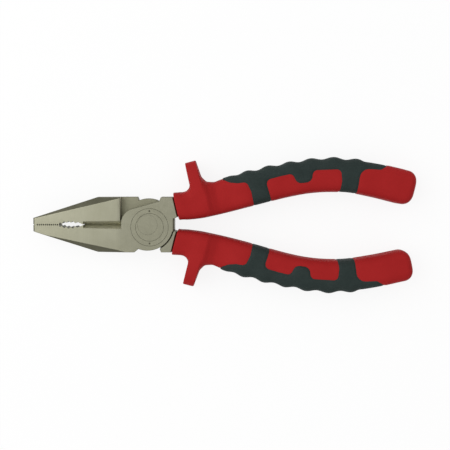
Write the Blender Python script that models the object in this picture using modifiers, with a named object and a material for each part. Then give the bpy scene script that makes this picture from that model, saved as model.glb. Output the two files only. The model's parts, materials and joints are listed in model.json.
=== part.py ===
"""Combination pliers with guarded two-material handles, closed and lying on their back.

Lengths in this file are millimetres about the pivot, and are scaled to metres where a mesh is made.
X runs from the jaws to the handles, Y across the handles and Z up through the lap joint.
"""

import math

import bmesh
import bpy
import numpy as np
from mathutils import Matrix, Vector

MM = 0.001

# Cutting blocks, long enough to pass through the piece they cut
SLAB_SIZE = (90.0, 60.0, 20.0)
CUT_REACH = 20.0

# Steps of the round stretches
CORNER_STEPS = 3
PLATE_ARC_STEPS = 6
DISC_STEPS = 14
DISC_ROOM_STEPS = 48
TURN_STEPS = 32
TANG_STEPS = 12
END_STEPS = 5
SHARP_ANGLE = math.radians(32.0)

# Head
JAW_LENGTH = 53.3
JAW_CORNER = 23.3
HEAD_HALF_WIDTH = 12.8
TIP_HALF_WIDTH = 3.1
HEAD_THICKNESS = 10.5
TIP_THICKNESS = 7.0
JAW_STEP = 12.55
TAPER_START = 14.0
SEAM_GAP = 0.12
LAP_GAP = 0.3
TIP_CHAMFER = 0.7

# Chamfer along the outer edge of a jaw: where its line on the face starts and ends, and its slope
CHAMFER_START = (-53.3, -2.5)
CHAMFER_END = (-14.0, -11.9)
CHAMFER_SLOPE = math.radians(38.0)

# Joint plate: a disc, cut back on the jaw side along a small arc and a slanting line
DISC_RADIUS = 12.0
DISC_CLEARANCE = 0.3
PLATE_ARC_CENTRE = (-5.2, 0.64)
PLATE_ARC_RADIUS = 7.0
PLATE_SLANT = math.radians(16.9)
JAW_HEEL = 4.5
HEEL_STEEPNESS = 0.8
HEEL_CHAMFERS = {"front_half": 1.6, "rear_half": 0.25}
SHOULDER_HEEL = ((6.25, 12.8), (5.6, 10.95))
SHOULDER_END = 10.2
CROTCH_WALL = 12.3
CROTCH_HALF_GAP = 2.9
RIVET_RADIUS = 4.0
RIVET_HEAD_RADIUS = 5.2
RIVET_HEAD_DEPTH = 1.2
RIVET_RECESS = 0.05
RIVET_CLEARANCE = 0.1

# Gripping and cutting edges
SERRATION_START = 52.1
SERRATION_PITCH = 0.9
SERRATION_COUNT = 11
SERRATION_DEPTH = 0.4
OVAL_CENTRE = 36.2
OVAL_HALF_LENGTH = 7.0
OVAL_DEPTH = 1.62
OVAL_ENDS = (29.5, 41.8)
OVAL_FIRST_NOTCH = 32.2
OVAL_NOTCH_PITCH = 2.1
OVAL_NOTCH_COUNT = 5
OVAL_TOOTH_HEIGHT = 0.65
CUTTER_ENDS = (-29.9, -12.2)
CUTTER_OPENING = 1.54
CUTTER_LAND = 0.8

# Handle: its bent middle line, then distances along it (from the sleeve's mouth) and across it (outwards)
HANDLE_LINE = [
    (12.9, 8.3), (28.0, 12.0), (46.0, 16.5), (64.0, 20.75), (84.0, 23.45), (104.0, 21.7), (125.5, 17.2),
]
SLEEVE_LENGTH = 112.7
MOUTH_ROUNDING = 0.4
END_CORNER_RADIUS = 4.6
END_EDGE_RADIUS = 3.0
# The two handles are neither bent nor sleeved quite alike: a turn about the mouth, a shift, and outer girth
HANDLE_SETS = {
    "upper": (math.radians(-0.72), (0.35, 0.3), 0.25),
    "lower": (math.radians(0.8), (-0.25, -0.3), -0.25),
}
GIRTH_FADE = (8.0, 20.0)

# Shank at the mouth of the sleeve, and the tang inside it
SHANK_HALF_WIDTHS = (4.3, 4.9)
SHANK_DEPTH = 4.0
SHANK_RAMP_START = -2.0
SHANK_RAMP = math.radians(16.0)
TANG_START = 1.0
TANG_END = 98.0
TANG_HALF_WIDTHS = (4.1, 3.2)
TANG_THICKNESS = 6.4
TANG_CLEARANCE = 0.3

# Sleeve: its outer edge with the finger guard as (along, across, corner radius), then its other profiles
SLEEVE_OUTER = [
    (0.4, 6.0, 0.0), (3.0, 5.9, 0.0), (8.4, 5.8, 3.4), (8.4, 18.4, 0.4), (13.5, 18.45, 0.5),
    (14.35, 10.4, 4.0), (16.2, 7.7, 2.5), (20.0, 6.9, 3.0), (27.0, 7.6, 8.0), (40.0, 7.8, 0.0),
    (52.0, 7.8, 0.0), (64.0, 7.8, 0.0), (76.0, 7.7, 0.0), (88.0, 7.6, 0.0), (98.0, 7.6, 0.0),
    (106.0, 7.6, 0.0),
]
SLEEVE_INNER = [
    (0.0, 6.4), (5.0, 7.2), (12.0, 7.95), (24.0, 8.2), (45.0, 7.9), (60.0, 7.46), (73.0, 7.65),
    (83.0, 7.5), (95.0, 8.05), (106.0, 8.4), (112.7, 8.4),
]
SLEEVE_HALF_THICKNESS = [
    (0.0, 6.9), (5.5, 6.9), (8.3, 7.7), (13.6, 7.7), (17.5, 6.9), (21.0, 6.95), (29.0, 7.4),
    (98.0, 7.4), (112.7, 7.1),
]
SECTION_POWER = 3.6
SECTION_CROWN = 1.06
SECTION_POINTS = 20

# Soft grip: a ridged strip along the outer edge, with two bands round the handle and a stub between them
GRIP_PROUD = 0.3
GRIP_DEPTH = 2.0
GRIP_CLEARANCE = 0.2
GRIP_SPAN = (21.0, 100.0)
RIDGE_LEVEL = 7.8
RIDGE_HEIGHT = 0.52
RIDGE_PITCH = 9.75
RIDGE_FIRST = 26.0
RIDGE_END_LEVELS = (7.15, 7.5)
RIDGE_FADES = ((22.5, 26.5), (86.0, 90.0))
RIDGE_STATIONS = 6
GRIP_PATTERN = [
    (22.6, 13.0, 0.0), (24.0, 6.8, 0.0), (26.6, 4.6, 3.0), (30.0, 3.4, 3.0), (34.4, 2.9, 2.0),
    (35.4, -2.0, 4.0), (35.2, -12.0, 0.0), (43.9, -12.0, 0.0), (43.1, -0.2, 0.0), (43.2, 1.7, 1.4),
    (50.0, 2.0, 0.0),
    (55.8, 2.2, 1.6), (57.0, -2.6, 1.8), (63.9, -2.9, 1.8), (65.0, 2.2, 1.6), (77.8, 2.2, 1.6),
    (78.6, -3.0, 4.0), (77.5, -12.0, 0.0), (86.1, -12.0, 0.0), (86.2, 3.4, 1.8), (94.6, 4.5, 2.0),
    (97.6, 9.0, 0.0), (98.4, 13.0, 0.0), (80.0, 14.0, 0.0), (60.0, 14.0, 0.0), (40.0, 14.0, 0.0),
]
CORE_SPAN = (19.0, 101.0)
CORE_STATIONS = 9

STEEL = ((0.46, 0.45, 0.34), 0.32, 1.0)
RIVET_STEEL = ((0.42, 0.41, 0.32), 0.36, 1.0)
RED_PLASTIC = ((0.36, 0.017, 0.019), 0.42, 0.0)
SOFT_PLASTIC = ((0.026, 0.040, 0.037), 0.7, 0.0)


def clear_scene():
    for item in list(bpy.data.objects):
        bpy.data.objects.remove(item)


def new_collection(name):
    collection = bpy.data.collections.new(name)
    bpy.context.scene.collection.children.link(collection)
    return collection


def material(name, colour, roughness, metallic):
    result = bpy.data.materials.new(name)
    result.use_nodes = True
    shader = result.node_tree.nodes["Principled BSDF"]
    shader.inputs["Base Color"].default_value = (*colour, 1.0)
    shader.inputs["Roughness"].default_value = roughness
    shader.inputs["Metallic"].default_value = metallic
    return result


# Outlines

def arc(centre, radius, start, end, steps):
    """Points of an arc, both ends included."""
    angles = [start + (end - start) * step / steps for step in range(steps + 1)]
    x, y = centre
    return [(x + radius * math.cos(angle), y + radius * math.sin(angle)) for angle in angles]


def rounded(corners, closed, steps=CORNER_STEPS):
    """A polyline of (x, y, radius) corners, each corner replaced by an arc of its radius."""
    points = []
    for index, (x, y, radius) in enumerate(corners):
        corner = Vector((x, y))
        at_end = not closed and index in (0, len(corners) - 1)
        if radius == 0.0 or at_end:
            points.append((x, y))
            continue
        before = (Vector(corners[index - 1][:2]) - corner).normalized()
        after = (Vector(corners[(index + 1) % len(corners)][:2]) - corner).normalized()
        half_angle = before.angle(after) / 2
        setback = radius / math.tan(half_angle)
        centre = corner + (before + after).normalized() * radius / math.sin(half_angle)
        first = corner + before * setback - centre
        sweep = first.angle_signed(corner + after * setback - centre)
        for step in range(steps + 1):
            points.append(tuple(centre + Matrix.Rotation(-sweep * step / steps, 2) @ first))
    return points


def grown(outline, distance):
    """A closed counter-clockwise outline moved outwards by a distance."""
    points = [Vector(point) for point in outline]
    result = []
    for index, point in enumerate(points):
        before = (point - points[index - 1]).normalized()
        after = (points[(index + 1) % len(points)] - point).normalized()
        normals = [Vector((edge.y, -edge.x)) for edge in (before, after)]
        middle = (normals[0] + normals[1]).normalized()
        result.append(tuple(point + middle * distance / middle.dot(normals[0])))
    return result


def smooth_value(knots, place):
    """A value read from a curve through the knots that does not overshoot them."""
    places, values = np.array(knots).T
    steps = np.diff(places)
    slopes = np.diff(values) / steps
    tangents = np.zeros(len(knots))
    for index in range(1, len(knots) - 1):
        left, right = slopes[index - 1], slopes[index]
        if left * right > 0:
            tangents[index] = 2 * left * right / (left + right)
    place = min(max(place, places[0]), places[-1])
    index = min(int(np.searchsorted(places, place, side="right")) - 1, len(steps) - 1)
    step = steps[index]
    u = (place - places[index]) / step
    return float(
        values[index] * (1 + 2 * u) * (1 - u) ** 2
        + values[index + 1] * u * u * (3 - 2 * u)
        + tangents[index] * step * u * (1 - u) ** 2
        - tangents[index + 1] * step * u * u * (1 - u)
    )


class HandleLine:
    """The middle line of one handle: a smooth curve through HANDLE_LINE, turned and shifted to its set."""

    SAMPLES = 40

    def __init__(self, turn, shift, girth):
        self.girth = girth
        knots = [Vector(point) for point in HANDLE_LINE]
        knots = [2 * knots[0] - knots[1], *knots, 2 * knots[-1] - knots[-2]]
        points = []
        for a, b, c, d in zip(knots, knots[1:], knots[2:], knots[3:]):
            for step in range(self.SAMPLES):
                u = step / self.SAMPLES
                bend = (2 * a - 5 * b + 4 * c - d) * u ** 2
                twist = (3 * b - a - 3 * c + d) * u ** 3
                points.append((2 * b + (c - a) * u + bend + twist) / 2)
        points.append(knots[-2])
        mouth = points[0]
        turned = [Matrix.Rotation(turn, 2) @ (point - mouth) + mouth + Vector(shift) for point in points]
        self.points = np.array(turned)
        steps = np.linalg.norm(np.diff(self.points, axis=0), axis=1)
        self.lengths = np.concatenate([[0.0], np.cumsum(steps)])
        tangents = np.gradient(self.points, axis=0)
        self.tangents = tangents / np.linalg.norm(tangents, axis=1)[:, None]

    def at(self, along, across):
        """The point a distance along the line and across it, outwards positive."""
        held = min(max(along, 0.0), self.lengths[-1])
        point = Vector([np.interp(held, self.lengths, column) for column in self.points.T])
        tangent = Vector([np.interp(held, self.lengths, column) for column in self.tangents.T])
        tangent.normalize()
        return point + tangent * (along - held) + Vector((-tangent.y, tangent.x)) * across

    def outline(self, points):
        return [tuple(self.at(along, across)) for along, across in points]


# Solids

def new_object(name, mesh, collection):
    result = bpy.data.objects.new(name, mesh)
    collection.objects.link(result)
    return result


def evaluated_mesh(item):
    depsgraph = bpy.context.evaluated_depsgraph_get()
    return bpy.data.meshes.new_from_object(item.evaluated_get(depsgraph))


def plate(name, outline, bottom, top, collection):
    """A flat outline in the XY plane made solid from one height to another."""
    curve = bpy.data.curves.new(name, "CURVE")
    curve.dimensions = "2D"
    curve.fill_mode = "BOTH"
    curve.extrude = (top - bottom) / 2 * MM
    spline = curve.splines.new("POLY")
    spline.points.add(len(outline) - 1)
    for point, (x, y) in zip(spline.points, outline):
        point.co = (x * MM, y * MM, 0.0, 1.0)
    spline.use_cyclic_u = True
    drawn = new_object(name, curve, collection)
    mesh = evaluated_mesh(drawn)
    bpy.data.objects.remove(drawn)
    mesh.transform(Matrix.Translation((0.0, 0.0, (top + bottom) / 2 * MM)))
    weld(mesh)
    return new_object(name, mesh, collection)


def weld(mesh):
    bm = bmesh.new()
    bm.from_mesh(mesh)
    bmesh.ops.remove_doubles(bm, verts=bm.verts, dist=1e-7)
    bmesh.ops.recalc_face_normals(bm, faces=bm.faces)
    bm.to_mesh(mesh)
    bm.free()


def loft(name, rings, collection):
    """A closed skin over a row of rings that have the same number of points."""
    bm = bmesh.new()
    rows = [[bm.verts.new(Vector(point) * MM) for point in ring] for ring in rings]
    for row, following in zip(rows, rows[1:]):
        for index in range(len(row)):
            bm.faces.new((row[index - 1], row[index], following[index], following[index - 1]))
    bm.faces.new(rows[0])
    bm.faces.new(rows[-1])
    bmesh.ops.recalc_face_normals(bm, faces=bm.faces)
    mesh = bpy.data.meshes.new(name)
    bm.to_mesh(mesh)
    bm.free()
    return new_object(name, mesh, collection)


def slab(name, point, normal, along, collection):
    """A large block whose lower face passes through a point, square to a normal."""
    normal = Vector(normal).normalized()
    along = Vector(along).normalized()
    axes = Matrix((along, normal.cross(along), normal)).transposed().to_4x4()
    lift = Matrix.Translation((0.0, 0.0, SLAB_SIZE[2] / 2 * MM))
    place = Matrix.Translation(Vector(point) * MM) @ axes @ lift
    bm = bmesh.new()
    bmesh.ops.create_cube(bm, matrix=place @ Matrix.Diagonal((*[side * MM for side in SLAB_SIZE], 1.0)))
    mesh = bpy.data.meshes.new(name)
    bm.to_mesh(mesh)
    bm.free()
    return new_object(name, mesh, collection)


def turned(name, profile, collection):
    """A solid of revolution about the pivot, from a profile of (radius, height) that runs downwards."""
    mesh = bpy.data.meshes.new(name)
    points = [(radius * MM, 0.0, height * MM) for radius, height in profile]
    mesh.from_pydata(points, [(index, index + 1) for index in range(len(points) - 1)], [])
    item = new_object(name, mesh, collection)
    screw = item.modifiers.new("Turn", "SCREW")
    screw.steps = TURN_STEPS
    screw.render_steps = TURN_STEPS
    screw.use_merge_vertices = True
    screw.merge_threshold = 1e-6
    item.data = evaluated_mesh(item)
    item.modifiers.clear()
    weld(item.data)
    return item


def combine(item, tool, operation):
    """Cut, join or intersect a piece with a tool, which is used up."""
    boolean = item.modifiers.new(operation.title(), "BOOLEAN")
    boolean.operation = operation
    boolean.object = tool
    item.data = evaluated_mesh(item)
    item.modifiers.clear()
    bpy.data.objects.remove(tool)


# Steel halves, drawn with the jaw below and the handle above

def gripping_edge():
    """The edge of a jaw from the joint to the tip: cutter, oval pipe grip and serrations."""
    level = -SEAM_GAP / 2
    points = [(-OVAL_ENDS[0], level)]
    for index in range(OVAL_NOTCH_COUNT):
        notch = OVAL_FIRST_NOTCH + OVAL_NOTCH_PITCH * index
        points.append((-notch, -oval_depth(notch)))
        if index < OVAL_NOTCH_COUNT - 1:
            tooth = notch + OVAL_NOTCH_PITCH / 2
            points.append((-tooth, OVAL_TOOTH_HEIGHT - oval_depth(tooth)))
    points.append((-OVAL_ENDS[1], level))
    for index in reversed(range(SERRATION_COUNT)):
        groove = SERRATION_START - SERRATION_PITCH * index
        points.append((-groove + SERRATION_PITCH, level))
        points.append((-groove + SERRATION_PITCH / 2, level - SERRATION_DEPTH))
    points.append((-SERRATION_START, level))
    return points


def oval_depth(place):
    return OVAL_DEPTH * (1 - ((place - OVAL_CENTRE) / OVAL_HALF_LENGTH) ** 2)


def half_outline(line, heel_chamfer):
    level = -SEAM_GAP / 2
    heel_angle = -math.pi / 2 - math.asin(JAW_HEEL / DISC_RADIUS)
    crotch_angle = -math.asin(CROTCH_HALF_GAP / DISC_RADIUS)
    outer, inner = SHANK_HALF_WIDTHS
    shank = line.outline([(0.0, -inner), (SHANK_DEPTH, -inner), (SHANK_DEPTH, outer), (0.0, outer)])
    slant_end = math.pi / 2 + PLATE_SLANT
    plate_edge = arc(PLATE_ARC_CENTRE, PLATE_ARC_RADIUS, slant_end, math.pi, PLATE_ARC_STEPS)
    return [
        (-JAW_LENGTH, level),
        (-JAW_LENGTH, -TIP_HALF_WIDTH),
        (-JAW_CORNER, -HEAD_HALF_WIDTH),
        (-JAW_HEEL - heel_chamfer, -HEAD_HALF_WIDTH),
        (-JAW_HEEL, -HEAD_HALF_WIDTH + heel_chamfer * HEEL_STEEPNESS),
        *arc((0.0, 0.0), DISC_RADIUS, heel_angle, crotch_angle, DISC_STEPS),
        (CROTCH_WALL, DISC_CLEARANCE - CROTCH_HALF_GAP),
        (CROTCH_WALL, CROTCH_HALF_GAP),
        *shank,
        (SHOULDER_END, HEAD_HALF_WIDTH),
        *SHOULDER_HEEL,
        *plate_edge,
        (plate_edge[-1][0], level),
        *gripping_edge(),
    ]


def tang_outline(line, grow):
    """Both edges of the tang, narrowing towards its end."""
    first, last = TANG_HALF_WIDTHS
    edges = []
    for step in range(TANG_STEPS + 1):
        u = step / TANG_STEPS
        along = TANG_START + (TANG_END - TANG_START) * u
        edges.append((along, first + (last - first) * u))
    edges = [(TANG_START - grow, first), *edges[1:-1], (TANG_END + grow, last)]
    lower = [(along, -width - grow) for along, width in edges]
    upper = [(along, width + grow) for along, width in reversed(edges)]
    return line.outline(lower + upper)


def rivet_profile(grow):
    radius, head = RIVET_RADIUS + grow, RIVET_HEAD_RADIUS + grow
    top = HEAD_THICKNESS / 2 - RIVET_RECESS
    neck = top - RIVET_HEAD_DEPTH - grow
    if grow:
        top = HEAD_THICKNESS
        head += HEAD_THICKNESS / 2 + RIVET_RECESS
    return [(0.0, top), (head, top), (radius, neck), (radius, -neck), (head, -top), (0.0, -top)]


def cut_jaw_faces(half, collection):
    """The taper of the jaw, the chamfer along its outer edge and the chamfer at its tip, on both faces."""
    taper = math.atan2((HEAD_THICKNESS - TIP_THICKNESS) / 2, JAW_LENGTH - TAPER_START)
    start = Vector((*CHAMFER_START, TIP_THICKNESS / 2))
    edge = Vector((*CHAMFER_END, HEAD_THICKNESS / 2)) - start
    outwards = Vector((edge.y, -edge.x, 0.0)).normalized()
    for side in (1, -1):
        up = Vector((0.0, 0.0, side))
        face = Vector((-math.sin(taper), 0.0, side * math.cos(taper)))
        face_edge = Vector((-TAPER_START, 0.0, side * HEAD_THICKNESS / 2))
        # The block's middle sits half its length beyond the edge, so that it cuts the jaw alone
        reach = Vector((-math.cos(taper), 0.0, -side * math.sin(taper)))
        taper_middle = face_edge + reach * SLAB_SIZE[0] / 2
        combine(half, slab("taper", taper_middle, face, reach, collection), "DIFFERENCE")
        middle = start + edge / 2
        slope = outwards * math.sin(CHAMFER_SLOPE) + up * math.cos(CHAMFER_SLOPE)
        point = Vector((middle.x, middle.y, side * middle.z))
        along = Vector((edge.x, edge.y, side * edge.z))
        slope -= along * slope.dot(along) / along.length_squared
        combine(half, slab("edge_chamfer", point, slope, along, collection), "DIFFERENCE")
        tip = Vector((-JAW_LENGTH, 0.0, side * (TIP_THICKNESS / 2 - TIP_CHAMFER)))
        tip_normal = Vector((-1.0, 0.0, side))
        combine(half, slab("tip_chamfer", tip, tip_normal, (0.0, 1.0, 0.0), collection), "DIFFERENCE")


def cut_cutter(half, collection):
    """The bevels of the cutting edge, from each face down to a narrow land."""
    start, end = CUTTER_ENDS
    fall = math.atan2(CUTTER_OPENING - SEAM_GAP / 2, (HEAD_THICKNESS - CUTTER_LAND) / 2)
    for side in (1, -1):
        outline = [
            (-SEAM_GAP / 2, CUTTER_LAND / 2),
            (CUTTER_OPENING, CUTTER_LAND / 2),
            (CUTTER_OPENING, HEAD_THICKNESS),
            (-SEAM_GAP / 2 - math.tan(fall) * (HEAD_THICKNESS - CUTTER_LAND / 2), HEAD_THICKNESS),
        ]
        rings = [[(x, y, side * z) for y, z in outline] for x in (start, end)]
        combine(half, loft("cutter_bevel", rings, collection), "DIFFERENCE")


def cut_lap(half, collection):
    """Room in the rear layer for the other half's plate: at the jaw's step, the disc and the crotch."""
    top = LAP_GAP / 2
    room = [(-JAW_STEP, -CUT_REACH), (0.0, -CUT_REACH), (0.0, CUT_REACH), (-JAW_STEP, CUT_REACH)]
    combine(half, plate("lap_room", room, -HEAD_THICKNESS, top, collection), "DIFFERENCE")
    swept = arc((0.0, 0.0), DISC_RADIUS + DISC_CLEARANCE, 0.0, math.tau, DISC_ROOM_STEPS)[:-1]
    combine(half, plate("disc_room", swept, -HEAD_THICKNESS, top, collection), "DIFFERENCE")
    reach = CROTCH_WALL + DISC_CLEARANCE
    side = CROTCH_HALF_GAP - DISC_CLEARANCE / 3
    crotch = [(0.0, -side), (reach, -side), (reach, side), (0.0, side)]
    combine(half, plate("crotch_room", crotch, -HEAD_THICKNESS, top, collection), "DIFFERENCE")


def cut_shank_ramps(half, line, collection):
    """The slopes on both faces where the shank thins into the sleeve."""
    axis = (line.at(1.0, 0.0) - line.at(0.0, 0.0)).to_3d().normalized()
    start = line.at(SHANK_RAMP_START, 0.0).to_3d()
    for side in (1, -1):
        up = Vector((0.0, 0.0, side))
        along = axis * math.cos(SHANK_RAMP) - up * math.sin(SHANK_RAMP)
        normal = up * math.cos(SHANK_RAMP) + axis * math.sin(SHANK_RAMP)
        point = start + up * HEAD_THICKNESS / 2 + along * SLAB_SIZE[0] / 2
        combine(half, slab("ramp", point, normal, along, collection), "DIFFERENCE")


def make_half(name, line, collection, cutters):
    outline = half_outline(line, HEEL_CHAMFERS[name])
    half = plate(name, outline, -HEAD_THICKNESS / 2, HEAD_THICKNESS / 2, collection)
    cut_lap(half, cutters)
    cut_jaw_faces(half, cutters)
    cut_cutter(half, cutters)
    cut_shank_ramps(half, line, cutters)
    tang = plate("tang", tang_outline(line, 0.0), -TANG_THICKNESS / 2, TANG_THICKNESS / 2, cutters)
    combine(half, tang, "UNION")
    combine(half, turned("rivet_hole", rivet_profile(RIVET_CLEARANCE), cutters), "DIFFERENCE")
    return half


# Handles

def end_inset(along, radius):
    """How far a rounded end of the sleeve draws in at a place along it."""
    past = along - (SLEEVE_LENGTH - radius)
    if past <= 0.0:
        return 0.0
    return radius - math.sqrt(max(radius ** 2 - past ** 2, 0.0))


def section(line, along, outer, inner, half, points=SECTION_POINTS):
    """A rounded section across the handle, with flats on its front and back."""
    ring = []
    girth = line.girth * smooth_value([(GIRTH_FADE[0], 0.0), (GIRTH_FADE[1], 1.0)], along)
    for index in range(points):
        angle = math.tau * index / points
        cosine, sine = math.cos(angle), math.sin(angle)
        width = outer + girth if cosine > 0 else inner
        across = math.copysign(abs(cosine) ** (2 / SECTION_POWER), cosine) * width
        height = math.copysign(abs(sine) ** (2 / SECTION_POWER), sine) * half * SECTION_CROWN
        ring.append((*line.at(along, across), max(-half, min(half, height))))
    return ring


def sleeve_solid(name, line, collection):
    stations = [(0.0, SLEEVE_OUTER[0][1] - MOUTH_ROUNDING), *rounded(SLEEVE_OUTER, closed=False)]
    level = SLEEVE_OUTER[-1][1]
    for step in range(END_STEPS + 1):
        along = SLEEVE_LENGTH - END_CORNER_RADIUS * (1 - math.sin(math.pi / 2 * step / END_STEPS))
        stations.append((along, level - end_inset(along, END_CORNER_RADIUS)))
    rings = []
    for along, outer in stations:
        lip = MOUTH_ROUNDING if along == 0.0 else 0.0
        inner = smooth_value(SLEEVE_INNER, along) - end_inset(along, END_CORNER_RADIUS) - lip
        half = smooth_value(SLEEVE_HALF_THICKNESS, along) - end_inset(along, END_EDGE_RADIUS) - lip
        rings.append(section(line, along, outer, inner, half))
    return loft(name, rings, collection)


def ridge_level(along):
    """The soft grip's outer edge: a wave that fades out towards both ends."""
    wave = RIDGE_LEVEL + RIDGE_HEIGHT * math.cos(math.tau * (along - RIDGE_FIRST) / RIDGE_PITCH)
    rise, fall = RIDGE_FADES
    share = smooth_value([(rise[0], 0.0), (rise[1], 1.0), (fall[0], 1.0), (fall[1], 0.0)], along)
    level = RIDGE_END_LEVELS[0] if along < rise[1] else RIDGE_END_LEVELS[1]
    return level + (wave - level) * share


def grip_envelope(name, line, collection):
    """The outer form of the soft grip, with its ridges."""
    start, end = GRIP_SPAN
    count = round((end - start) / RIDGE_PITCH * RIDGE_STATIONS)
    rings = []
    for step in range(count + 1):
        along = start + (end - start) * step / count
        outer = ridge_level(along)
        inner = smooth_value(SLEEVE_INNER, along) + GRIP_PROUD
        half = smooth_value(SLEEVE_HALF_THICKNESS, along) + GRIP_PROUD
        rings.append(section(line, along, outer, inner, half))
    return loft(name, rings, collection)


def core_solid(name, line, grow, collection):
    """The part of the sleeve that lies under the soft grip."""
    start, end = CORE_SPAN
    rings = []
    for step in range(CORE_STATIONS + 1):
        along = start + (end - start) * step / CORE_STATIONS
        outer = RIDGE_LEVEL - RIDGE_HEIGHT - GRIP_DEPTH + grow
        inner = smooth_value(SLEEVE_INNER, along) - GRIP_DEPTH + grow
        half = smooth_value(SLEEVE_HALF_THICKNESS, along) - GRIP_DEPTH + grow
        rings.append(section(line, along, outer, inner, half, points=16))
    return loft(name, rings, collection)


def pattern_plate(name, line, grow, collection):
    """The soft grip's plan, as a block through the whole handle."""
    outline = line.outline(rounded(GRIP_PATTERN, closed=True))
    return plate(name, grown(outline, grow), -CUT_REACH, CUT_REACH, collection)


def make_sleeve(name, line, collection, cutters):
    sleeve = sleeve_solid(name, line, collection)
    combine(sleeve, pattern_plate("grip_recess", line, GRIP_CLEARANCE / 2, cutters), "DIFFERENCE")
    combine(sleeve, core_solid("core", line, 0.0, cutters), "UNION")
    half = TANG_THICKNESS / 2 + TANG_CLEARANCE
    tang = tang_outline(line, TANG_CLEARANCE)
    combine(sleeve, plate("tang_room", tang, -half, half, cutters), "DIFFERENCE")
    outer, inner = (width + TANG_CLEARANCE for width in SHANK_HALF_WIDTHS)
    depth = SHANK_DEPTH + TANG_CLEARANCE
    mouth = line.outline([(-depth, -inner), (depth, -inner), (depth, outer), (-depth, outer)])
    half = HEAD_THICKNESS / 2 + SHANK_RAMP_START * math.tan(SHANK_RAMP) + TANG_CLEARANCE
    combine(sleeve, plate("mouth_room", mouth, -half, half, cutters), "DIFFERENCE")
    return sleeve


def make_grip(name, line, collection, cutters):
    grip = grip_envelope(name, line, collection)
    combine(grip, pattern_plate("grip_plan", line, -GRIP_CLEARANCE / 2, cutters), "INTERSECT")
    combine(grip, core_solid("core_room", line, GRIP_CLEARANCE, cutters), "DIFFERENCE")
    return grip


# Assembly

def finish(item, finish_material, parent):
    item.data.materials.clear()
    item.data.materials.append(finish_material)
    item.data.shade_smooth()
    item.data.set_sharp_from_angle(angle=SHARP_ANGLE)
    item.parent = parent


def make_empty(name, parent, collection):
    empty = new_object(name, None, collection)
    empty.parent = parent
    return empty


def stand(root, parts):
    """Move the pliers so that the middle of their box is over the origin and they rest at height zero."""
    bpy.context.view_layer.update()
    corners = np.array([item.matrix_world @ vertex.co for item in parts for vertex in item.data.vertices])
    low, high = corners.min(axis=0), corners.max(axis=0)
    root.location = (-(low[0] + high[0]) / 2, -(low[1] + high[1]) / 2, -low[2])
    print("size", (high - low).round(5), "pivot", np.array(root.location).round(5))


def main():
    clear_scene()
    pliers = new_collection("combination_pliers")
    cutters = new_collection("cutters")
    steel = material("forged_steel", *STEEL)
    rivet_steel = material("rivet_steel", *RIVET_STEEL)
    red = material("red_plastic", *RED_PLASTIC)
    soft = material("soft_plastic", *SOFT_PLASTIC)

    # The rear half is drawn as the front one is, and turned over about the length of the pliers
    root = make_empty("pivot", None, pliers)
    rear = make_empty("rear_pivot", root, pliers)
    rear.rotation_euler = (math.pi, 0.0, 0.0)
    parts = []
    for handle, half_name, parent in (("upper", "front_half", root), ("lower", "rear_half", rear)):
        line = HandleLine(*HANDLE_SETS[handle])
        half = make_half(half_name, line, pliers, cutters)
        sleeve = make_sleeve(f"{handle}_sleeve", line, pliers, cutters)
        grip = make_grip(f"{handle}_soft_grip", line, pliers, cutters)
        for item, look in ((half, steel), (sleeve, red), (grip, soft)):
            finish(item, look, parent)
            parts.append(item)
    rivet = turned("pivot_rivet", rivet_profile(0.0), pliers)
    finish(rivet, rivet_steel, root)
    parts.append(rivet)
    stand(root, parts)


main()
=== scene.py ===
"""Looks of the combination pliers: modelled steel, rivet and two-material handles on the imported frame.

Lengths are millimetres about the pivot, as in the part's source, and become metres where a mesh is made.
Each half and handle is drawn with its jaw below and its handle above. The rear ones are then turned over.
"""

import json
import math

import bmesh
import bpy
import numpy as np
from mathutils import Matrix, Vector
from mathutils.kdtree import KDTree


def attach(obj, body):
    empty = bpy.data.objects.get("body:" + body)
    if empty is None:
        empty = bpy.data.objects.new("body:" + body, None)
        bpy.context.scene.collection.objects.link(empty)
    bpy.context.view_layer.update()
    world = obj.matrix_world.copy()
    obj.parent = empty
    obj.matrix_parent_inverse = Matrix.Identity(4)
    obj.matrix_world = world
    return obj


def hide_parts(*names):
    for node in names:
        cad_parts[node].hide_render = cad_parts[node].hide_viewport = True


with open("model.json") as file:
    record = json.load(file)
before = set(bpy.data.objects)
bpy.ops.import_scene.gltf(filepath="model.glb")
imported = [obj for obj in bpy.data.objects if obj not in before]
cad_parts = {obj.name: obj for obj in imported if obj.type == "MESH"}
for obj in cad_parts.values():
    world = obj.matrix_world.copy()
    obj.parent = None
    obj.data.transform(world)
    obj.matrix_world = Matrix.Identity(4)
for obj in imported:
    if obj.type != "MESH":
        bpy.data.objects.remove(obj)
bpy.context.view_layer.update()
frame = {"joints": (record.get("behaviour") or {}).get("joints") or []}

MM = 0.001
PIVOT = Vector(frame["joints"][0]["pos_m"])
TURNED_OVER = Matrix.Rotation(math.pi, 4, "X")

# Distances in metres below which points count as one
WELD_DISTANCE = 1e-7
MERGE_DISTANCE = 1e-6

# Camera: the photograph's frame at the height of the pivot's middle
PHOTO_WIDTH = 450
MM_PER_PIXEL = 0.469
CAMERA_DISTANCE = 400.0
CAMERA_TILT = math.radians(3.5)
CAMERA_TARGET = (35.97, -0.38)
CAMERA_NEAR = 10.0
SENSOR_WIDTH = 36.0

# Stage, in metres and watts
FLOOR_REACH = 6.0
FLOOR_RIM = 0.2
FLOOR_EVENNESS = 0.86
WHITE = (1.0, 1.0, 1.0, 1.0)
ROOM_LEVELS = (0.3, 0.75)
ROOM_HEIGHTS = (0.0, 0.7)
SOFTBOX_SIZE = 1.3
SOFTBOX_POWER = 6.0
SOFTBOX_PLACE = Vector((-0.76, 0.24, 0.72))

# Cutting blocks, long enough to pass through the piece they cut
SLAB_SIZE = (90.0, 60.0, 20.0)
CUT_REACH = 20.0

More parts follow.
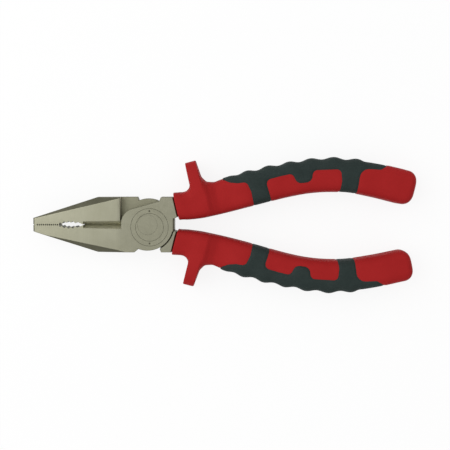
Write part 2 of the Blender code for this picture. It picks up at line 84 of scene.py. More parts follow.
# Steps of the round stretches, and how faces meet
CORNER_STEPS = 8
PLATE_ARC_STEPS = 16
DISC_STEPS = 40
TURN_STEPS = 96
TANG_STEPS = 12
MOUTH_STEPS = 4
END_STEPS = 12
SHARP_ANGLE = math.radians(38.0)
FLAT_ANGLE = math.radians(0.4)
FACE_WEIGHT = 100
LEAST_NORMAL = 1e-9
FLAT_FACED_SLOTS = ("forged_steel", "rivet_steel")

# Head
JAW_LENGTH = 53.3
JAW_CORNER = 23.3
HEAD_HALF_WIDTH = 12.8
TIP_HALF_WIDTH = 3.1
HEAD_THICKNESS = 10.5
TIP_THICKNESS = 7.0
JAW_STEP = 12.55
TAPER_START = 14.0
SEAM_GAP = 0.03
LAP_GAP = 0.3
TIP_CHAMFER = 0.7
TIP_NICK = (0.55, 0.25)
EDGE_CHAMFERS = {
    "front": ((-53.3, -3.65), (-14.0, -11.7)),
    "rear": ((-53.3, -2.8), (-14.0, -11.95)),
}
CHAMFER_SLOPE = math.radians(38.0)
EDGE_ROUNDING = 0.16
EDGE_ROUNDING_STEPS = 2
ROUNDED_ANGLE = math.radians(20.0)
BITE_HALF_WIDTH = 2.2
RIVET_ZONE = 6.0
HIDDEN_START = 20.0
# Faces that turn further than this from straight up or down take the darker forged colour, which is painted
# shade
GROUND_FLATNESS = 0.95

# Joint plate
DISC_RADIUS = 12.0
DISC_CLEARANCE = 0.45
PLATE_ARC_CENTRE = (-5.2, 0.64)
PLATE_ARC_RADIUS = 7.0
PLATE_SLANT = math.radians(16.9)
JAW_HEEL = 4.5
HEEL_CHAMFERS = {"front": (1.6, 1.3), "rear": (0.5, 1.2)}
SHOULDER_HEEL = ((6.25, 12.8), (5.6, 10.95))
SHOULDER_END = 11.2
CROTCH_WALL = 12.4
CROTCH_HALF_GAP = 2.9
CROTCH_CORNER = 3.3
CROTCH_CHAMFER = 0.6
RIVET_RADIUS = 4.0
RIVET_HEAD_RADIUS = 4.6
RIVET_HEAD_DEPTH = 0.6
RIVET_RECESS = 0.02
RIVET_CLEARANCE = 0.02
RING_CENTRE = (1.0, -1.15)
RING_RADII = (6.45, 8.7)
RING_WIDTH = 0.26
RING_DEPTH = 0.14
DOT_RADIUS = 0.42
DOT_DEPTHS = (0.6, 0.8)
DOT_PLACE = 7.5

# Gripping and cutting edges
SERRATION_START = 51.6
SERRATION_PITCH = 0.94
SERRATION_LAND = 0.26
SERRATION_COUNT = 11
SERRATION_DEPTH = 0.5
OVAL_CENTRE = 36.2
OVAL_HALF_LENGTH = 7.0
OVAL_DEPTH = 1.85
OVAL_ENDS = (29.6, 41.2)
OVAL_FIRST_NOTCH = 32.5
OVAL_NOTCH_PITCH = 2.07
OVAL_NOTCH_COUNT = 5
OVAL_TOOTH_HEIGHT = 0.85
CUTTER_ENDS = (-29.9, -12.2)
CUTTER_OPENING = 1.85
CUTTER_LAND = 1.6

# Handle: its bent middle line, then distances along it (from the sleeve's mouth) and across it (outwards)
HANDLE_LINE = [
    (12.9, 8.3), (28.0, 12.0), (46.0, 16.5), (64.0, 20.75), (84.0, 23.45), (104.0, 21.7), (125.5, 17.2),
]
SLEEVE_LENGTH = 112.7
MOUTH_ROUNDING = 0.4
END_CORNER_RADIUS = 4.6
END_EDGE_RADIUS = 3.0
HANDLE_SETS = {
    "upper": {"turn": math.radians(-0.72), "shift": (0.35, 0.3), "girth": 0.25, "end_slimming": 0.1,
              "ridge_shift": 0.0, "mouth_girth": 0.35},
    "lower": {"turn": math.radians(0.8), "shift": (-0.25, -0.3), "girth": -0.25, "end_slimming": 0.5,
              "ridge_shift": -1.0, "mouth_girth": -0.4},
}
GIRTH_FADE = (8.0, 20.0)
END_SLIMMING_FADE = (84.0, 108.0)
MOUTH_GIRTH_FADE = (5.0, 35.0)
SHANK_HALF_WIDTHS = (4.3, 4.9)
SHANK_DEPTH = 1.0
SHANK_RAMP_START = -0.7
SHANK_RAMP = math.radians(45.0)
TANG_START = 0.0
TANG_END = 98.0
TANG_HALF_WIDTHS = (3.8, 3.2)
TANG_THICKNESS = 6.4
TANG_CLEARANCE = 0.3
SLEEVE_OUTER = [
    (0.4, 6.3, 0.0), (4.2, 5.5, 1.0), (8.4, 5.5, 3.4), (8.5, 18.4, 0.4), (13.5, 18.45, 0.5),
    (14.35, 10.4, 4.0), (16.2, 7.5, 2.5), (19.8, 6.45, 4.0), (27.0, 7.5, 8.0), (40.0, 7.8, 0.0),
    (52.0, 7.8, 0.0), (64.0, 7.8, 0.0), (76.0, 7.7, 0.0), (88.0, 7.6, 0.0), (98.0, 7.6, 0.0),
    (106.0, 7.6, 0.0),
]
SLEEVE_INNER = [
    (0.0, 6.4), (5.0, 7.2), (12.0, 7.95), (24.0, 8.2), (45.0, 7.9), (60.0, 7.46), (73.0, 7.65),
    (83.0, 7.5), (95.0, 8.05), (106.0, 8.4), (112.7, 8.4),
]
SLEEVE_HALF_THICKNESS = [
    (0.0, 7.05), (5.5, 6.85), (14.2, 7.7), (17.0, 6.5), (20.0, 5.7), (24.0, 6.0), (34.0, 7.4),
    (98.0, 7.4), (112.7, 7.1),
]
SECTION_POWER = 3.6
SECTION_SAMPLES = 2001
RING_POINTS = 112
STATION_STEP = 0.5
PARTING_LINE_HEIGHT = 0.14
PARTING_LINE_PLACES = (0.12, 0.34)
PARTING_LINE_START = 1.0
PARTING_LINE_FADE = 2.0

# Soft grip
GRIP_PROUD = 0.3
GRIP_DEPTH = 2.0
GRIP_GAP = 0.03
GRIP_EDGE = 1.0
GROOVE_DEPTH = 0.16
GROOVE_HALF_WIDTH = 0.8
SKIN_REACH = 0.6
GRIP_SPAN = (21.0, 102.0)
RIDGE_LEVEL = 7.8
RIDGE_HEIGHT = 0.52
RIDGE_PITCH = 9.75
RIDGE_FIRST = 26.0
RIDGE_END_LEVELS = (7.5, 7.5)
RIDGE_FADES = ((24.0, 33.0), (86.0, 90.0))
GRIP_PATTERN = [
    (22.6, 15.0, 0.0), (24.0, 6.8, 0.0), (26.6, 4.6, 3.0), (30.0, 3.4, 3.0), (34.4, 2.9, 2.2),
    (35.4, -2.0, 4.0), (35.2, -12.0, 0.0), (43.9, -12.0, 0.0), (43.0, 1.7, 2.4),
    (50.0, 2.1, 8.0), (55.6, 2.3, 2.2), (57.0, -2.6, 3.0), (63.9, -2.9, 3.2), (65.0, 2.3, 2.4),
    (77.4, 2.3, 2.2), (78.2, -3.0, 4.0), (77.2, -12.0, 0.0), (86.1, -12.0, 0.0), (86.2, 3.6, 4.4),
    (95.2, 4.6, 2.0), (99.2, 8.4, 0.0), (100.4, 15.0, 0.0), (80.0, 16.0, 0.0), (60.0, 16.0, 0.0),
    (40.0, 16.0, 0.0),
]
GRIP_PLAN_SHIFTS = {"upper": 0.5, "lower": -0.9}
CORE_SPAN = (19.0, 103.0)
CORE_STATIONS = 12
CORE_POINTS = 24

# Materials: places in the list of steel finishes, the usual range of a noise, the Mix node's colour sockets
GROUND, FORGED_PAINTED_SHADE, LAP_PAINTED_SHADE, HONED_AND_PAINTED_LIGHT = range(4)
NOISE_RANGE = (0.3, 0.7)
MIX_COLOUR_INPUTS = (6, 7)
MIX_COLOUR_OUTPUT = 2


# Outlines

def arc(centre, radius, start, end, steps):
    """Points of an arc, both ends included."""
    angles = [start + (end - start) * step / steps for step in range(steps + 1)]
    x, y = centre
    return [(x + radius * math.cos(angle), y + radius * math.sin(angle)) for angle in angles]


def rounded(corners, closed, steps=CORNER_STEPS):
    """A polyline of (x, y, radius) corners, each corner replaced by an arc of its radius."""
    points = []
    for index, (x, y, radius) in enumerate(corners):
        corner = Vector((x, y))
        at_end = not closed and index in (0, len(corners) - 1)
        if radius == 0.0 or at_end:
            points.append((x, y))
            continue
        before = (Vector(corners[index - 1][:2]) - corner).normalized()
        after = (Vector(corners[(index + 1) % len(corners)][:2]) - corner).normalized()
        half_angle = before.angle(after) / 2
        setback = radius / math.tan(half_angle)
        centre = corner + (before + after).normalized() * radius / math.sin(half_angle)
        first = corner + before * setback - centre
        sweep = first.angle_signed(corner + after * setback - centre)
        for step in range(steps + 1):
            points.append(tuple(centre + Matrix.Rotation(-sweep * step / steps, 2) @ first))
    return points


def grown(outline, distance):
    """A closed counter-clockwise outline moved outwards by a distance."""
    points = [Vector(point) for point in outline]
    result = []
    for index, point in enumerate(points):
        before = (point - points[index - 1]).normalized()
        after = (points[(index + 1) % len(points)] - point).normalized()
        normals = [Vector((edge.y, -edge.x)) for edge in (before, after)]
        middle = (normals[0] + normals[1]).normalized()
        result.append(tuple(point + middle * distance / middle.dot(normals[0])))
    return result


def refined(polyline, longest):
    """A polyline with points added, so that no stretch is longer than a length."""
    points = [polyline[0]]
    for start, end in zip(polyline, polyline[1:]):
        pieces = max(1, math.ceil(math.dist(start, end) / longest))
        for step in range(1, pieces + 1):
            points.append(tuple(a + (b - a) * step / pieces for a, b in zip(start, end)))
    return points


def smooth_step(low, high, values):
    """0 below a range, 1 above it and a smooth rise inside it."""
    share = np.clip((np.asarray(values, float) - low) / (high - low), 0.0, 1.0)
    return share * share * (3 - 2 * share)


def smooth_value(knots, place):
    """A value read from a curve through the knots that does not overshoot them."""
    places, values = np.array(knots).T
    steps = np.diff(places)
    slopes = np.diff(values) / steps
    tangents = np.zeros(len(knots))
    for index in range(1, len(knots) - 1):
        left, right = slopes[index - 1], slopes[index]
        if left * right > 0:
            tangents[index] = 2 * left * right / (left + right)
    place = min(max(place, places[0]), places[-1])
    index = min(int(np.searchsorted(places, place, side="right")) - 1, len(steps) - 1)
    step = steps[index]
    u = (place - places[index]) / step
    return float(
        values[index] * (1 + 2 * u) * (1 - u) ** 2
        + values[index + 1] * u * u * (3 - 2 * u)
        + tangents[index] * step * u * (1 - u) ** 2
        - tangents[index + 1] * step * u * u * (1 - u)
    )


class HandleLine:
    """The middle line of one handle: a smooth curve through HANDLE_LINE, turned and shifted to its set."""

    SAMPLES = 40

    def __init__(self, turn, shift, girth, end_slimming, ridge_shift, mouth_girth):
        self.girth = girth
        self.mouth_girth = mouth_girth
        self.end_slimming = end_slimming
        self.ridge_shift = ridge_shift
        knots = [Vector(point) for point in HANDLE_LINE]
        knots = [2 * knots[0] - knots[1], *knots, 2 * knots[-1] - knots[-2]]
        points = []
        for a, b, c, d in zip(knots, knots[1:], knots[2:], knots[3:]):
            for step in range(self.SAMPLES):
                u = step / self.SAMPLES
                bend = (2 * a - 5 * b + 4 * c - d) * u ** 2
                twist = (3 * b - a - 3 * c + d) * u ** 3
                points.append((2 * b + (c - a) * u + bend + twist) / 2)
        points.append(knots[-2])
        mouth = points[0]
        turned = [Matrix.Rotation(turn, 2) @ (point - mouth) + mouth + Vector(shift) for point in points]
        self.points = np.array(turned)
        steps = np.linalg.norm(np.diff(self.points, axis=0), axis=1)
        self.lengths = np.concatenate([[0.0], np.cumsum(steps)])
        tangents = np.gradient(self.points, axis=0)
        self.tangents = tangents / np.linalg.norm(tangents, axis=1)[:, None]

    def at(self, along, across):
        """The points at distances along the line and across it, outwards positive."""
        along = np.asarray(along, float)
        across = np.asarray(across, float)
        held = np.clip(along, 0.0, self.lengths[-1])
        point = np.stack([np.interp(held, self.lengths, column) for column in self.points.T], axis=-1)
        tangent = np.stack([np.interp(held, self.lengths, column) for column in self.tangents.T], axis=-1)
        tangent = tangent / np.linalg.norm(tangent, axis=-1)[..., None]
        normal = np.stack([-tangent[..., 1], tangent[..., 0]], axis=-1)
        return point + tangent * (along - held)[..., None] + normal * across[..., None]

    def outline(self, points):
        along, across = np.array(points).T
        return [tuple(point) for point in self.at(along, across)]


# Solids

def new_object(name, mesh):
    """A new object in the scene."""
    result = bpy.data.objects.new(name, mesh)
    bpy.context.scene.collection.objects.link(result)
    return result


def evaluated_mesh(item):
    """The mesh of an object with its modifiers carried out."""
    depsgraph = bpy.context.evaluated_depsgraph_get()
    return bpy.data.meshes.new_from_object(item.evaluated_get(depsgraph))


def weld(mesh):
    """Join the points that lie in one place, and turn all faces outwards."""
    bm = bmesh.new()
    bm.from_mesh(mesh)
    bmesh.ops.remove_doubles(bm, verts=bm.verts, dist=WELD_DISTANCE)
    bmesh.ops.recalc_face_normals(bm, faces=bm.faces)
    bm.to_mesh(mesh)
    bm.free()


def plate(name, outline, bottom, top):
    """A flat outline in the XY plane made solid from one height to another."""
    return loft(name, [[(x, y, height) for x, y in outline] for height in (bottom, top)])


def loft(name, rings):
    """A closed skin over a row of rings that have the same number of points."""
    rings = np.asarray(rings, float)
    rows, columns = rings.shape[:2]
    faces = []
    for row in range(rows - 1):
        for column in range(columns):
            here = row * columns
            nearby = (column + 1) % columns
            faces.append((here + column, here + nearby, here + columns + nearby, here + columns + column))
    faces.append(tuple(range(columns)))
    faces.append(tuple(range((rows - 1) * columns, rows * columns)))
    mesh = bpy.data.meshes.new(name)
    mesh.from_pydata((rings.reshape(-1, 3) * MM).tolist(), [], faces)
    weld(mesh)
    return new_object(name, mesh)


def slab(name, point, normal, along):
    """A large block whose lower face passes through a point, square to a normal."""
    normal = Vector(normal).normalized()
    along = Vector(along).normalized()
    axes = Matrix((along, normal.cross(along), normal)).transposed().to_4x4()
    lift = Matrix.Translation((0.0, 0.0, SLAB_SIZE[2] / 2 * MM))
    place = Matrix.Translation(Vector(point) * MM) @ axes @ lift
    bm = bmesh.new()
    bmesh.ops.create_cube(bm, matrix=place @ Matrix.Diagonal((*[side * MM for side in SLAB_SIZE], 1.0)))
    mesh = bpy.data.meshes.new(name)
    bm.to_mesh(mesh)
    bm.free()
    return new_object(name, mesh)


def turned(name, profile, closed=False):
    """A solid of revolution about the pivot, from a profile of (radius, height) that runs downwards."""
    mesh = bpy.data.meshes.new(name)
    points = [(radius * MM, 0.0, height * MM) for radius, height in profile]
    edges = [(index, index + 1) for index in range(len(points) - 1)]
    if closed:
        edges.append((len(points) - 1, 0))
    mesh.from_pydata(points, edges, [])
    item = new_object(name, mesh)
    screw = item.modifiers.new("Turn", "SCREW")
    screw.steps = TURN_STEPS
    screw.render_steps = TURN_STEPS
    screw.use_merge_vertices = True
    screw.merge_threshold = MERGE_DISTANCE
    item.data = evaluated_mesh(item)
    item.modifiers.clear()
    weld(item.data)
    return item


def combine(item, tool, operation):
    """Cut, join or intersect a piece with a tool, which is used up."""
    boolean = item.modifiers.new(operation.title(), "BOOLEAN")
    boolean.operation = operation
    boolean.object = tool
    item.data = evaluated_mesh(item)
    item.modifiers.clear()
    bpy.data.objects.remove(tool)


# Steel halves

def oval_depth(place):
    """Depth of the oval pipe grip at a distance from the pivot."""
    return OVAL_DEPTH * (1 - ((place - OVAL_CENTRE) / OVAL_HALF_LENGTH) ** 2)


def gripping_edge():
    """The edge of a jaw from the joint to the tip: cutter, oval pipe grip and serrations."""
    level = -SEAM_GAP / 2
    points = [(-OVAL_ENDS[0], level)]
    for index in range(OVAL_NOTCH_COUNT):
        notch = OVAL_FIRST_NOTCH + OVAL_NOTCH_PITCH * index
        points.append((-notch, -oval_depth(notch)))
        if index < OVAL_NOTCH_COUNT - 1:
            tooth = notch + OVAL_NOTCH_PITCH / 2
            points.append((-tooth, OVAL_TOOTH_HEIGHT - oval_depth(tooth)))
    points.append((-OVAL_ENDS[1], level))
    width = SERRATION_PITCH - SERRATION_LAND
    for index in reversed(range(SERRATION_COUNT)):
        start = SERRATION_START - SERRATION_PITCH * index
        points.append((width - start, level))
        points.append((width / 2 - start, level - SERRATION_DEPTH))
        points.append((-start, level))
    return points


def half_outline(line, heel_chamfer):
    """The plan of a half: jaw, joint plate and shank."""
    level = -SEAM_GAP / 2
    nick_length, nick_depth = TIP_NICK
    heel_angle = -math.pi / 2 - math.asin(JAW_HEEL / DISC_RADIUS)
    crotch_angle = -math.asin(CROTCH_CORNER / DISC_RADIUS)
    outer, inner = SHANK_HALF_WIDTHS
    shank = line.outline([(0.0, -inner), (SHANK_DEPTH, -inner), (SHANK_DEPTH, outer), (0.0, outer)])
    slant_end = math.pi / 2 + PLATE_SLANT
    plate_edge = arc(PLATE_ARC_CENTRE, PLATE_ARC_RADIUS, slant_end, math.pi, PLATE_ARC_STEPS)
    return [
        (nick_length - JAW_LENGTH, level),
        (-JAW_LENGTH, level - nick_depth),
        (-JAW_LENGTH, -TIP_HALF_WIDTH),
        (-JAW_CORNER, -HEAD_HALF_WIDTH),
        (-JAW_HEEL - heel_chamfer[0], -HEAD_HALF_WIDTH),
        (-JAW_HEEL, -HEAD_HALF_WIDTH + heel_chamfer[1]),
        *arc((0.0, 0.0), DISC_RADIUS, heel_angle, crotch_angle, DISC_STEPS),
        (CROTCH_WALL, DISC_CLEARANCE - CROTCH_HALF_GAP),
        (CROTCH_WALL, CROTCH_HALF_GAP),
        *shank,
        (SHOULDER_END, HEAD_HALF_WIDTH),
        *SHOULDER_HEEL,
        *plate_edge,
        (plate_edge[-1][0], level),
        *gripping_edge(),
    ]


def tang_outline(line, grow):
    """Both edges of the tang, narrowing towards its end."""
    first, last = TANG_HALF_WIDTHS
    edges = []
    for step in range(TANG_STEPS + 1):
        u = step / TANG_STEPS
        along = TANG_START + (TANG_END - TANG_START) * u
        edges.append((along, first + (last - first) * u))
    edges = [(TANG_START - grow, first), *edges[1:-1], (TANG_END + grow, last)]
    lower = [(along, -width - grow) for along, width in edges]
    upper = [(along, width + grow) for along, width in reversed(edges)]
    return line.outline(lower + upper)


def rivet_profile(grow):
    """The rivet's profile or, grown, its hole's, with 45 degree countersinks that run on past the faces."""
    radius, head = RIVET_RADIUS + grow, RIVET_HEAD_RADIUS + grow
    top = HEAD_THICKNESS / 2 - RIVET_RECESS
    neck = top - RIVET_HEAD_DEPTH - grow
    if grow:
        top = HEAD_THICKNESS
        head += HEAD_THICKNESS / 2 + RIVET_RECESS
    return [(0.0, top), (head, top), (radius, neck), (radius, -neck), (head, -top), (0.0, -top)]


def cut_jaw_faces(half, edge_chamfer):
    """The taper of the jaw, the chamfer along its outer edge and the chamfer at its tip, on both faces."""
    taper = math.atan2((HEAD_THICKNESS - TIP_THICKNESS) / 2, JAW_LENGTH - TAPER_START)
    start = Vector((*edge_chamfer[0], TIP_THICKNESS / 2))
    edge = Vector((*edge_chamfer[1], HEAD_THICKNESS / 2)) - start
    outwards = Vector((edge.y, -edge.x, 0.0)).normalized()
    for side in (1, -1):
        up = Vector((0.0, 0.0, side))
        face = Vector((-math.sin(taper), 0.0, side * math.cos(taper)))
        face_edge = Vector((-TAPER_START, 0.0, side * HEAD_THICKNESS / 2))
        # The block's middle sits half its length beyond the edge, so that it cuts the jaw alone
        reach = Vector((-math.cos(taper), 0.0, -side * math.sin(taper)))
        taper_middle = face_edge + reach * SLAB_SIZE[0] / 2
        combine(half, slab("taper", taper_middle, face, reach), "DIFFERENCE")
        middle = start + edge / 2
        slope = outwards * math.sin(CHAMFER_SLOPE) + up * math.cos(CHAMFER_SLOPE)
        point = Vector((middle.x, middle.y, side * middle.z))
        along = Vector((edge.x, edge.y, side * edge.z))
        slope -= along * slope.dot(along) / along.length_squared
        combine(half, slab("edge_chamfer", point, slope, along), "DIFFERENCE")
        tip = Vector((-JAW_LENGTH, 0.0, side * (TIP_THICKNESS / 2 - TIP_CHAMFER)))
        tip_normal = Vector((-1.0, 0.0, side))
        combine(half, slab("tip_chamfer", tip, tip_normal, (0.0, 1.0, 0.0)), "DIFFERENCE")


def cut_cutter(half):
    """The bevels of the cutting edge, from each face down to a narrow land."""
    start, end = CUTTER_ENDS
    fall = math.atan2(CUTTER_OPENING - SEAM_GAP / 2, (HEAD_THICKNESS - CUTTER_LAND) / 2)
    for side in (1, -1):
        outline = [
            (-SEAM_GAP / 2, CUTTER_LAND / 2),
            (CUTTER_OPENING, CUTTER_LAND / 2),
            (CUTTER_OPENING, HEAD_THICKNESS),
            (-SEAM_GAP / 2 - math.tan(fall) * (HEAD_THICKNESS - CUTTER_LAND / 2), HEAD_THICKNESS),
        ]
        rings = [[(x, y, side * z) for y, z in outline] for x in (start, end)]
        combine(half, loft("cutter_bevel", rings), "DIFFERENCE")


def cut_lap(half):
    """Room in the rear layer for the other half's plate: at the jaw's step, the disc and the crotch."""
    radius = DISC_RADIUS + DISC_CLEARANCE
    reach = CROTCH_WALL + DISC_CLEARANCE
    side = CROTCH_HALF_GAP
    crotch_angle = math.asin(CROTCH_CORNER / radius)
    room = [
        (-JAW_STEP, -CUT_REACH),
        (0.0, -CUT_REACH),
        *arc((0.0, 0.0), radius, -math.pi / 2, -crotch_angle, DISC_STEPS),
        (CROTCH_WALL, -side),
        (reach, -side),
        (reach, side),
        (CROTCH_WALL, side),
        *arc((0.0, 0.0), radius, crotch_angle, math.pi / 2, DISC_STEPS),
        (0.0, CUT_REACH),
        (-JAW_STEP, CUT_REACH),
    ]
    combine(half, plate("lap_room", room, -HEAD_THICKNESS, LAP_GAP / 2), "DIFFERENCE")


def cut_crotch_chamfer(half):
    """A chamfer on the outer face along the wall between the handles."""
    top = HEAD_THICKNESS / 2
    corners = [(-CROTCH_CHAMFER, CROTCH_CHAMFER), (CROTCH_CHAMFER, CROTCH_CHAMFER),
               (CROTCH_CHAMFER, -2 * CROTCH_CHAMFER), (0.0, -CROTCH_CHAMFER), (-CROTCH_CHAMFER, 0.0)]
    ends = (-CUT_REACH, CROTCH_HALF_GAP)
    rings = [[(CROTCH_WALL + x, end, top + z) for x, z in corners] for end in ends]
    combine(half, loft("crotch_chamfer", rings), "DIFFERENCE")


def cut_shank_ramps(half, line):
    """The slopes on both faces where the shank thins into the sleeve."""
    axis = Vector((*(line.at(1.0, 0.0) - line.at(0.0, 0.0)), 0.0)).normalized()
    start = Vector((*line.at(SHANK_RAMP_START, 0.0), 0.0))
    for side in (1, -1):
        up = Vector((0.0, 0.0, side))
        along = axis * math.cos(SHANK_RAMP) - up * math.sin(SHANK_RAMP)
        normal = up * math.cos(SHANK_RAMP) + axis * math.sin(SHANK_RAMP)
        point = start + up * HEAD_THICKNESS / 2 + along * SLAB_SIZE[0] / 2
        combine(half, slab("ramp", point, normal, along), "DIFFERENCE")


def round_edges(item):
    """A narrow round on the long edges, but not on the teeth, the cutting edge and the hidden tang."""
    bm = bmesh.new()
    bm.from_mesh(item.data)
    bmesh.ops.remove_doubles(bm, verts=bm.verts, dist=MERGE_DISTANCE)
    bmesh.ops.dissolve_limit(bm, angle_limit=FLAT_ANGLE, verts=bm.verts, edges=bm.edges)

    def left_sharp(vertex):
        place = vertex.co / MM
        in_bite = place.x < -JAW_STEP and abs(place.y) < BITE_HALF_WIDTH
        return in_bite or place.x > HIDDEN_START or place.xy.length < RIVET_ZONE

    edges = []
    for edge in bm.edges:
        sharp = len(edge.link_faces) == 2 and edge.calc_face_angle() > ROUNDED_ANGLE
        if sharp and not all(left_sharp(vertex) for vertex in edge.verts):
            edges.append(edge)
    bmesh.ops.bevel(
        bm, geom=edges, offset=EDGE_ROUNDING * MM, offset_type="OFFSET", segments=EDGE_ROUNDING_STEPS,
        profile=0.5, affect="EDGES", clamp_overlap=False,
    )
    bm.to_mesh(item.data)
    bm.free()


def engrave(half):
    """Two plain rings and two drilled dots in the face of the joint plate."""
    top = HEAD_THICKNESS / 2
    place = Matrix.Translation((RING_CENTRE[0] * MM, RING_CENTRE[1] * MM, 0.0))
    for radius in RING_RADII:
        profile = [(radius - RING_WIDTH / 2, top + RING_DEPTH), (radius + RING_WIDTH / 2, top + RING_DEPTH),
                   (radius, top - RING_DEPTH)]
        ring = turned("ring", profile, closed=True)
        ring.data.transform(place)
        combine(half, ring, "DIFFERENCE")
    for side in (1, -1):
        wall, point = DOT_DEPTHS
        dot = turned("dot", [(0.0, top + RING_DEPTH), (DOT_RADIUS, top + RING_DEPTH),
                             (DOT_RADIUS, top - wall), (0.0, top - point)])
        dot.data.transform(place @ Matrix.Translation((0.0, side * DOT_PLACE * MM, 0.0)))
        combine(half, dot, "DIFFERENCE")


def make_half(body, line, marked):
    """One steel half: a cut plate with its tang and rivet hole, rounded and, if marked, engraved."""
    outline = half_outline(line, HEEL_CHAMFERS[body])
    half = plate(f"{body}_half_steel", outline, -HEAD_THICKNESS / 2, HEAD_THICKNESS / 2)
    cut_lap(half)
    cut_jaw_faces(half, EDGE_CHAMFERS[body])
    cut_cutter(half)
    cut_crotch_chamfer(half)
    cut_shank_ramps(half, line)
    combine(half, plate("tang", tang_outline(line, 0.0), -TANG_THICKNESS / 2, TANG_THICKNESS / 2), "UNION")
    combine(half, turned("rivet_hole", rivet_profile(RIVET_CLEARANCE)), "DIFFERENCE")
    round_edges(half)
    if marked:
        engrave(half)
    return half


# Handles

def section_angles():
    """Angles that space the points of a usual section evenly, with closer ones at the parting line."""
    fine = np.linspace(0.0, math.pi, SECTION_SAMPLES)
    across, height = section_points(1.0, 1.0, 1.0, fine)
    lengths = np.concatenate([[0.0], np.cumsum(np.hypot(np.diff(across), np.diff(height)))])
    upper = np.interp(np.linspace(0.0, lengths[-1], RING_POINTS // 2 + 1), lengths, fine)
    middle_half = SLEEVE_HALF_THICKNESS[-2][1]
    near = [math.asin((place / middle_half) ** (SECTION_POWER / 2)) for place in PARTING_LINE_PLACES]
    upper = np.sort(np.concatenate([upper, near, math.pi - np.array(near)]))
    return np.concatenate([upper, math.tau - upper[-2:0:-1]])


def section_points(outer, inner, half, angles):
    """Distances across and up of a rounded section."""
    power = 2 / SECTION_POWER
    cosine, sine = np.cos(angles), np.sin(angles)
    across = np.sign(cosine) * np.abs(cosine) ** power * np.where(cosine > 0, outer, inner)
    height = np.sign(sine) * np.abs(sine) ** power * half
    return across, height


SECTION_ANGLES = section_angles()


def end_inset(along, radius):
    """How far a rounded end of the sleeve draws in at a place along it."""
    past = along - (SLEEVE_LENGTH - radius)
    if past <= 0.0:
        return 0.0
    return radius - math.sqrt(max(radius ** 2 - past ** 2, 0.0))


def ridge_level(along):
    """The soft grip's outer edge: a wave that fades out towards both ends."""
    wave = RIDGE_LEVEL + RIDGE_HEIGHT * math.cos(math.tau * (along - RIDGE_FIRST) / RIDGE_PITCH)
    rise, fall = RIDGE_FADES
    share = smooth_value([(rise[0], 0.0), (rise[1], 1.0), (fall[0], 1.0), (fall[1], 0.0)], along)
    level = RIDGE_END_LEVELS[0 if along < rise[1] else 1]
    return level + (wave - level) * share


def slimming_at(line, along):
    """How much slimmer each side of a handle is towards its end."""
    return line.end_slimming * float(smooth_step(*END_SLIMMING_FADE, along))


def girth_at(line, along):
    """What a handle's own girth adds to its outer edge, less the slimming."""
    return line.girth * float(smooth_step(*GIRTH_FADE, along)) - slimming_at(line, along)


def inner_at(line, along):
    """A handle's inner edge, with its own girth at the mouth, less the slimming."""
    mouth = line.mouth_girth * (1 - float(smooth_step(*MOUTH_GIRTH_FADE, along)))
    return smooth_value(SLEEVE_INNER, along) + mouth - slimming_at(line, along)


def sleeve_stations():
    """Places along the sleeve and its outer edge there, from the rounded mouth to the rounded end."""
    stations = []
    first_outer = SLEEVE_OUTER[0][1]
    for step in range(MOUTH_STEPS):
        angle = math.pi / 2 * step / MOUTH_STEPS
        drawn_in = MOUTH_ROUNDING * (1 - math.sin(angle))
        stations.append((MOUTH_ROUNDING * (1 - math.cos(angle)), first_outer - drawn_in, drawn_in))
    for along, outer in refined(rounded(SLEEVE_OUTER, closed=False), STATION_STEP):
        stations.append((along, outer, 0.0))
    level = SLEEVE_OUTER[-1][1]
    for step in range(END_STEPS + 1):
        along = SLEEVE_LENGTH - END_CORNER_RADIUS * (1 - math.sin(math.pi / 2 * step / END_STEPS))
        stations.append((along, level - end_inset(along, END_CORNER_RADIUS), 0.0))
    return stations


def edge_distance(outline, points):
    """Distances of points in plan from the edge of a closed outline."""
    starts = np.array(outline)
    nearest = np.full(len(points), np.inf)
    for start, end in zip(starts, np.roll(starts, -1, axis=0)):
        edge = end - start
        offset = points - start
        share = np.clip(offset @ edge / (edge @ edge), 0.0, 1.0)
        nearest = np.minimum(nearest, np.linalg.norm(offset - share[:, None] * edge, axis=1))
    return nearest


def grid_normals(points):
    """Outward normals of a grid of rings."""
    along = np.gradient(points, axis=0)
    around = np.roll(points, -1, axis=1) - np.roll(points, 1, axis=1)
    normals = np.cross(around, along)
    return normals / np.maximum(np.linalg.norm(normals, axis=2), LEAST_NORMAL)[..., None]


def placed(line, along, across, height):
    """Points at distances along and across a line and up from it."""
    plan = line.at(along, across)
    return np.concatenate([plan, height[..., None]], axis=2)


